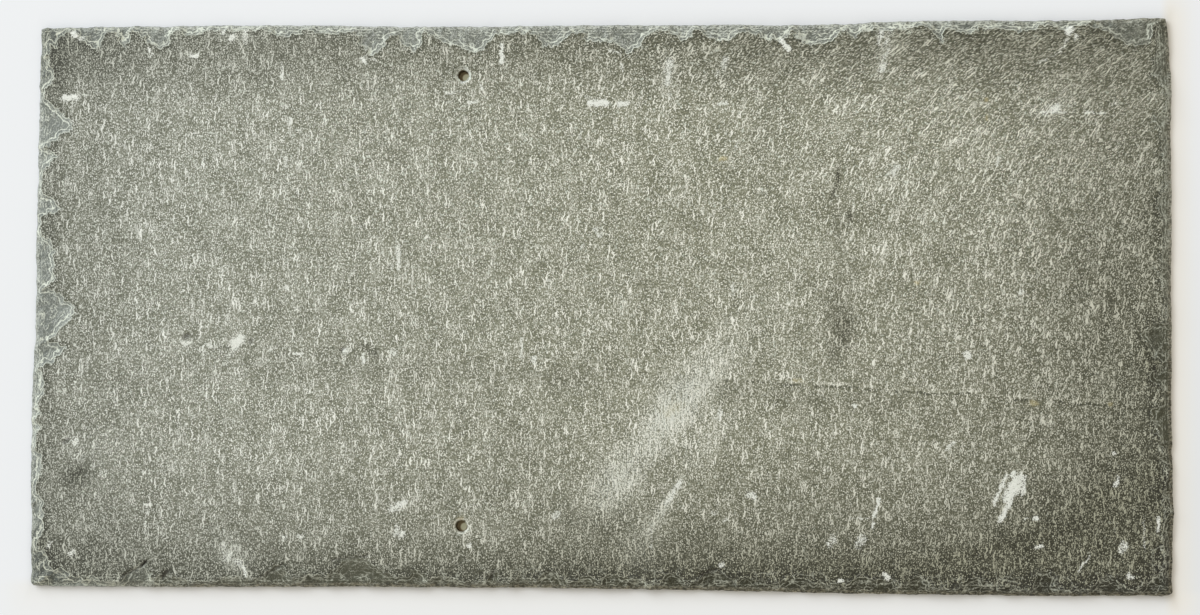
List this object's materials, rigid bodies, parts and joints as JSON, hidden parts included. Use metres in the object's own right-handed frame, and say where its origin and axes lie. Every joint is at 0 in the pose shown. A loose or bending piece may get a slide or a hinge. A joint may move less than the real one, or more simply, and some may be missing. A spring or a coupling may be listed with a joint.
{
  "type": "slate roof tile",
  "caption": "Flat rectangular slab of riven slate for covering roofs, with chipped hand-dressed edges and punched nail holes.",
  "frame": {"origin": "centre of the back, the side that the slate lies on, at the middle of its length and width", "axes": "+X along the slate from its head to its tail, +Y across it towards its left edge, +Z out of the dressed face"},
  "size_m": [0.5018, 0.251, 0.006],
  "materials": {
    "slate": "matte"
  },
  "bodies": {
    "root": {"slate_tile": "slate"}
  },
  "joints": []
}
